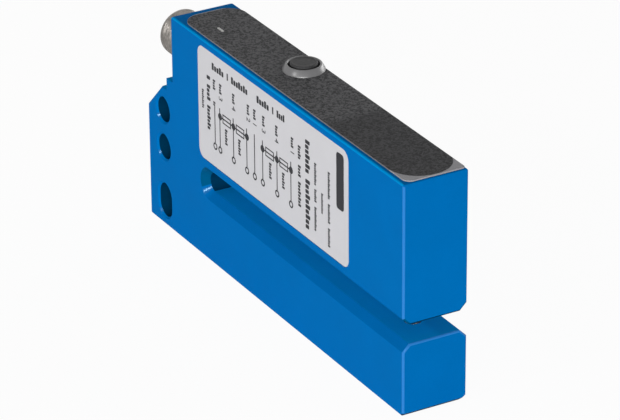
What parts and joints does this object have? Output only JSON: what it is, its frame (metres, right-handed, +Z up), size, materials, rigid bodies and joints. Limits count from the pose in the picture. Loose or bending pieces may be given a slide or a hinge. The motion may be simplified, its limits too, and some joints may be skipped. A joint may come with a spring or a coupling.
{
  "type": "fork sensor",
  "caption": "Slim metal fork sensor with a light barrier across its open slot, keypad foil with push-button, round plug connector and screw holes at the rear.",
  "frame": {"origin": "middle of the bottom face's bounding box; the sensor stands on its lower jaw's edge at z = 0", "axes": "+X toward the fork's open end, -Y toward the labelled side, +Z up toward the keypad foil"},
  "size_m": [0.0754, 0.0104, 0.0374],
  "materials": {
    "blue_paint": "satin",
    "keypad_foil": "fine grain",
    "dark_plastic": "satin",
    "black_plastic": "satin",
    "label_film": "satin",
    "nickel": "satin nickel plating",
    "gold": "bright",
    "seal": "matt",
    "circuit_board": "solder mask",
    "chip": "matt",
    "ceramic": "matt",
    "clear_acrylic": "clear",
    "led_epoxy": "gloss",
    "red_epoxy": "gloss",
    "switch_frame": "plain",
    "red_insulation": "satin",
    "blue_insulation": "satin"
  },
  "bodies": {
    "sensor_body": {"fork_housing": "blue_paint", "side_label": "label_film", "top_cover": "dark_plastic", "keypad_foil": "keypad_foil", "bottom_cover": "dark_plastic", "button_collar": "dark_plastic", "tact_switch": "switch_frame", "main_board": "circuit_board", "controller_chip": "chip", "amplifier_chip": "chip", "voltage_regulator": "chip", "output_transistor_1": "chip", "output_transistor_2": "chip", "supply_capacitor": "ceramic", "receiver_diode": "chip", "receiver_window": "clear_acrylic", "emitter_window": "clear_acrylic", "indicator_led": "led_epoxy", "light_guide": "clear_acrylic", "emitter_board": "circuit_board", "emitter_led": "red_epoxy", "emitter_lead_plus": "red_insulation", "emitter_lead_minus": "blue_insulation", "connector_seal": "seal", "connector_shell": "nickel", "connector_insert": "black_plastic", "contact_pin_1": "gold", "contact_pin_2": "gold", "contact_pin_3": "gold", "contact_pin_4": "gold"},
    "push_button": {"button_cap": "dark_plastic", "switch_plunger": "black_plastic"}
  },
  "joints": [
    {"name": "button_press", "type": "slide", "parent": "sensor_body", "child": "push_button", "axis": [0, 0, -1], "range_m": [0, 0.0004], "stiffness_N_per_m": 500}
  ]
}
